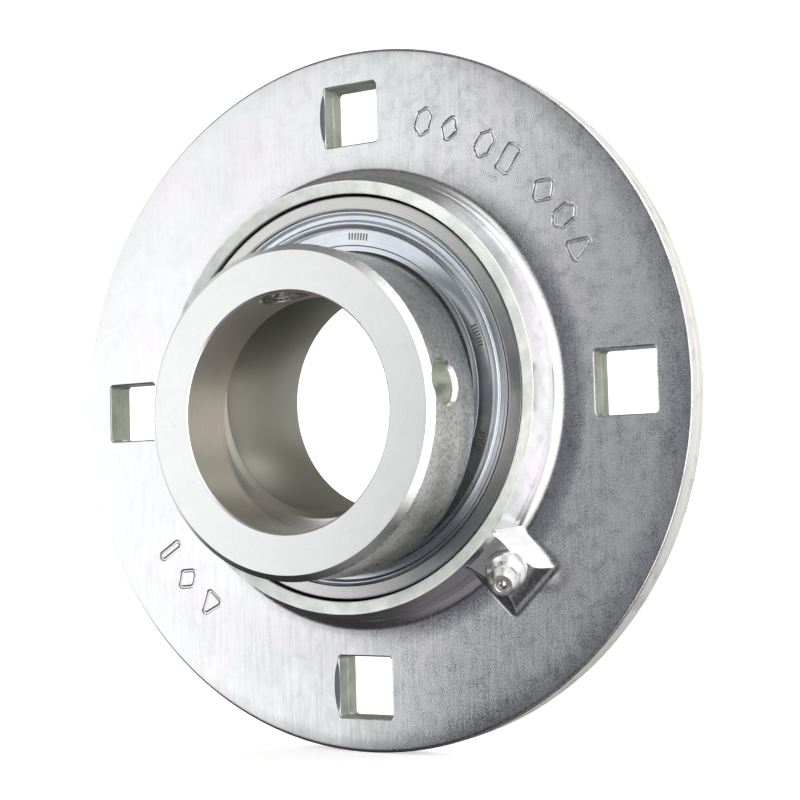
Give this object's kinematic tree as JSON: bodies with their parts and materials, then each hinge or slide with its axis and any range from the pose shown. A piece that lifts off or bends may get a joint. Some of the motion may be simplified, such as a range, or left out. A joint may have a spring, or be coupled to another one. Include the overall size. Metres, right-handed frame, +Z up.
{
  "type": "flange mount bearing",
  "caption": "Round pressed-steel flange housing with square bolt holes, a ball-seated sealed bearing insert, an eccentric locking collar and an angled grease nipple.",
  "frame": {"origin": "on the shaft bore's axis, in the plane of the mounting face", "axes": "+Y along the bore axis, out of the mounting face towards the wall it bolts to (the locking collar faces -Y); +Z up as pictured; +X right seen from the collar's side"},
  "size_m": [0.1552, 0.0451, 0.1552],
  "materials": {
    "zinc_plate": "zinc-plated pressed sheet, satin with a fine rolling grain",
    "ring_steel": "ground bearing steel",
    "cage_nylon": "natural glass-filled nylon",
    "ball_steel": "polished bearing steel",
    "seal_washer": "zinc-plated thin sheet, smooth",
    "seal_rubber": "black nitrile rubber",
    "collar_zinc": "turned and zinc-plated, satin",
    "screw_steel": "zinc-plated grub screw",
    "nipple_steel": "bright zinc-plated turned steel",
    "spring_steel": "bright spring wire"
  },
  "bodies": {
    "housing": {"front_flange_plate": "zinc_plate", "rear_flange_plate": "zinc_plate", "nipple_body": "nipple_steel", "nipple_spring": "spring_steel"},
    "outer_race": {"outer_ring": "ring_steel", "front_cover_washer": "seal_washer", "front_seal_lip": "seal_rubber", "front_backing_washer": "seal_washer", "rear_cover_washer": "seal_washer", "rear_seal_lip": "seal_rubber", "rear_backing_washer": "seal_washer"},
    "inner_race": {"inner_ring": "ring_steel"},
    "cage": {"ball_cage": "cage_nylon"},
    "collar": {"locking_collar": "collar_zinc"},
    "set_screw": {"grub_screw": "screw_steel"},
    "check_ball": {"nipple_ball": "ball_steel"},
    "rolling_ball_01": {"ball_01": "ball_steel"},
    "rolling_ball_02": {"ball_02": "ball_steel"},
    "rolling_ball_03": {"ball_03": "ball_steel"},
    "rolling_ball_04": {"ball_04": "ball_steel"},
    "rolling_ball_05": {"ball_05": "ball_steel"},
    "rolling_ball_06": {"ball_06": "ball_steel"},
    "rolling_ball_07": {"ball_07": "ball_steel"},
    "rolling_ball_08": {"ball_08": "ball_steel"},
    "rolling_ball_09": {"ball_09": "ball_steel"},
    "rolling_ball_10": {"ball_10": "ball_steel"}
  },
  "joints": [
    {"name": "insert_swivel", "type": "hinge", "parent": "housing", "child": "outer_race", "pos_m": [0, -0.0036, 0], "axis": [1, 0, 0], "range_deg": [-2.5, 2.5]},
    {"name": "shaft_spin", "type": "hinge", "parent": "outer_race", "child": "inner_race", "pos_m": [0, -0.0036, 0], "axis": [0, -1, 0], "continuous": true},
    {"name": "cage_orbit", "type": "hinge", "parent": "outer_race", "child": "cage", "pos_m": [0, -0.0036, 0], "axis": [0, -1, 0], "continuous": true},
    {"name": "collar_turn", "type": "hinge", "parent": "inner_race", "child": "collar", "pos_m": [0, -0.02, -0.002], "axis": [0, -1, 0], "continuous": true},
    {"name": "grub_screw_travel", "type": "slide", "parent": "collar", "child": "set_screw", "axis": [-0.1305, 0, 0.9914], "range_m": [-0.003, 0.004]},
    {"name": "nipple_ball_press", "type": "slide", "parent": "housing", "child": "check_ball", "axis": [-0.321, 0.891, 0.321], "range_m": [0, 0.0008], "stiffness_N_per_m": 300, "springref_m": -0.001, "deforming": ["nipple_spring"]},
    {"name": "ball_01_roll", "type": "hinge", "parent": "cage", "child": "rolling_ball_01", "pos_m": [0.03329, -0.0036, 0.01082], "axis": [0, -1, 0], "continuous": true},
    {"name": "ball_02_roll", "type": "hinge", "parent": "cage", "child": "rolling_ball_02", "pos_m": [0.02057, -0.0036, 0.02832], "axis": [0, -1, 0], "continuous": true},
    {"name": "ball_03_roll", "type": "hinge", "parent": "cage", "child": "rolling_ball_03", "pos_m": [0, -0.0036, 0.035], "axis": [0, -1, 0], "continuous": true},
    {"name": "ball_04_roll", "type": "hinge", "parent": "cage", "child": "rolling_ball_04", "pos_m": [-0.02057, -0.0036, 0.02832], "axis": [0, -1, 0], "continuous": true},
    {"name": "ball_05_roll", "type": "hinge", "parent": "cage", "child": "rolling_ball_05", "pos_m": [-0.03329, -0.0036, 0.01082], "axis": [0, -1, 0], "continuous": true},
    {"name": "ball_06_roll", "type": "hinge", "parent": "cage", "child": "rolling_ball_06", "pos_m": [-0.03329, -0.0036, -0.01082], "axis": [0, -1, 0], "continuous": true},
    {"name": "ball_07_roll", "type": "hinge", "parent": "cage", "child": "rolling_ball_07", "pos_m": [-0.02057, -0.0036, -0.02832], "axis": [0, -1, 0], "continuous": true},
    {"name": "ball_08_roll", "type": "hinge", "parent": "cage", "child": "rolling_ball_08", "pos_m": [0, -0.0036, -0.035], "axis": [0, -1, 0], "continuous": true},
    {"name": "ball_09_roll", "type": "hinge", "parent": "cage", "child": "rolling_ball_09", "pos_m": [0.02057, -0.0036, -0.02832], "axis": [0, -1, 0], "continuous": true},
    {"name": "ball_10_roll", "type": "hinge", "parent": "cage", "child": "rolling_ball_10", "pos_m": [0.03329, -0.0036, -0.01082], "axis": [0, -1, 0], "continuous": true}
  ],
  "couplings": [
    {"joint": "cage_orbit", "follows": "shaft_spin", "ratio": 0.40929},
    {"joint": "ball_01_roll", "follows": "shaft_spin", "ratio": -2.6652},
    {"joint": "ball_02_roll", "follows": "shaft_spin", "ratio": -2.6652},
    {"joint": "ball_03_roll", "follows": "shaft_spin", "ratio": -2.6652},
    {"joint": "ball_04_roll", "follows": "shaft_spin", "ratio": -2.6652},
    {"joint": "ball_05_roll", "follows": "shaft_spin", "ratio": -2.6652},
    {"joint": "ball_06_roll", "follows": "shaft_spin", "ratio": -2.6652},
    {"joint": "ball_07_roll", "follows": "shaft_spin", "ratio": -2.6652},
    {"joint": "ball_08_roll", "follows": "shaft_spin", "ratio": -2.6652},
    {"joint": "ball_09_roll", "follows": "shaft_spin", "ratio": -2.6652},
    {"joint": "ball_10_roll", "follows": "shaft_spin", "ratio": -2.6652}
  ]
}
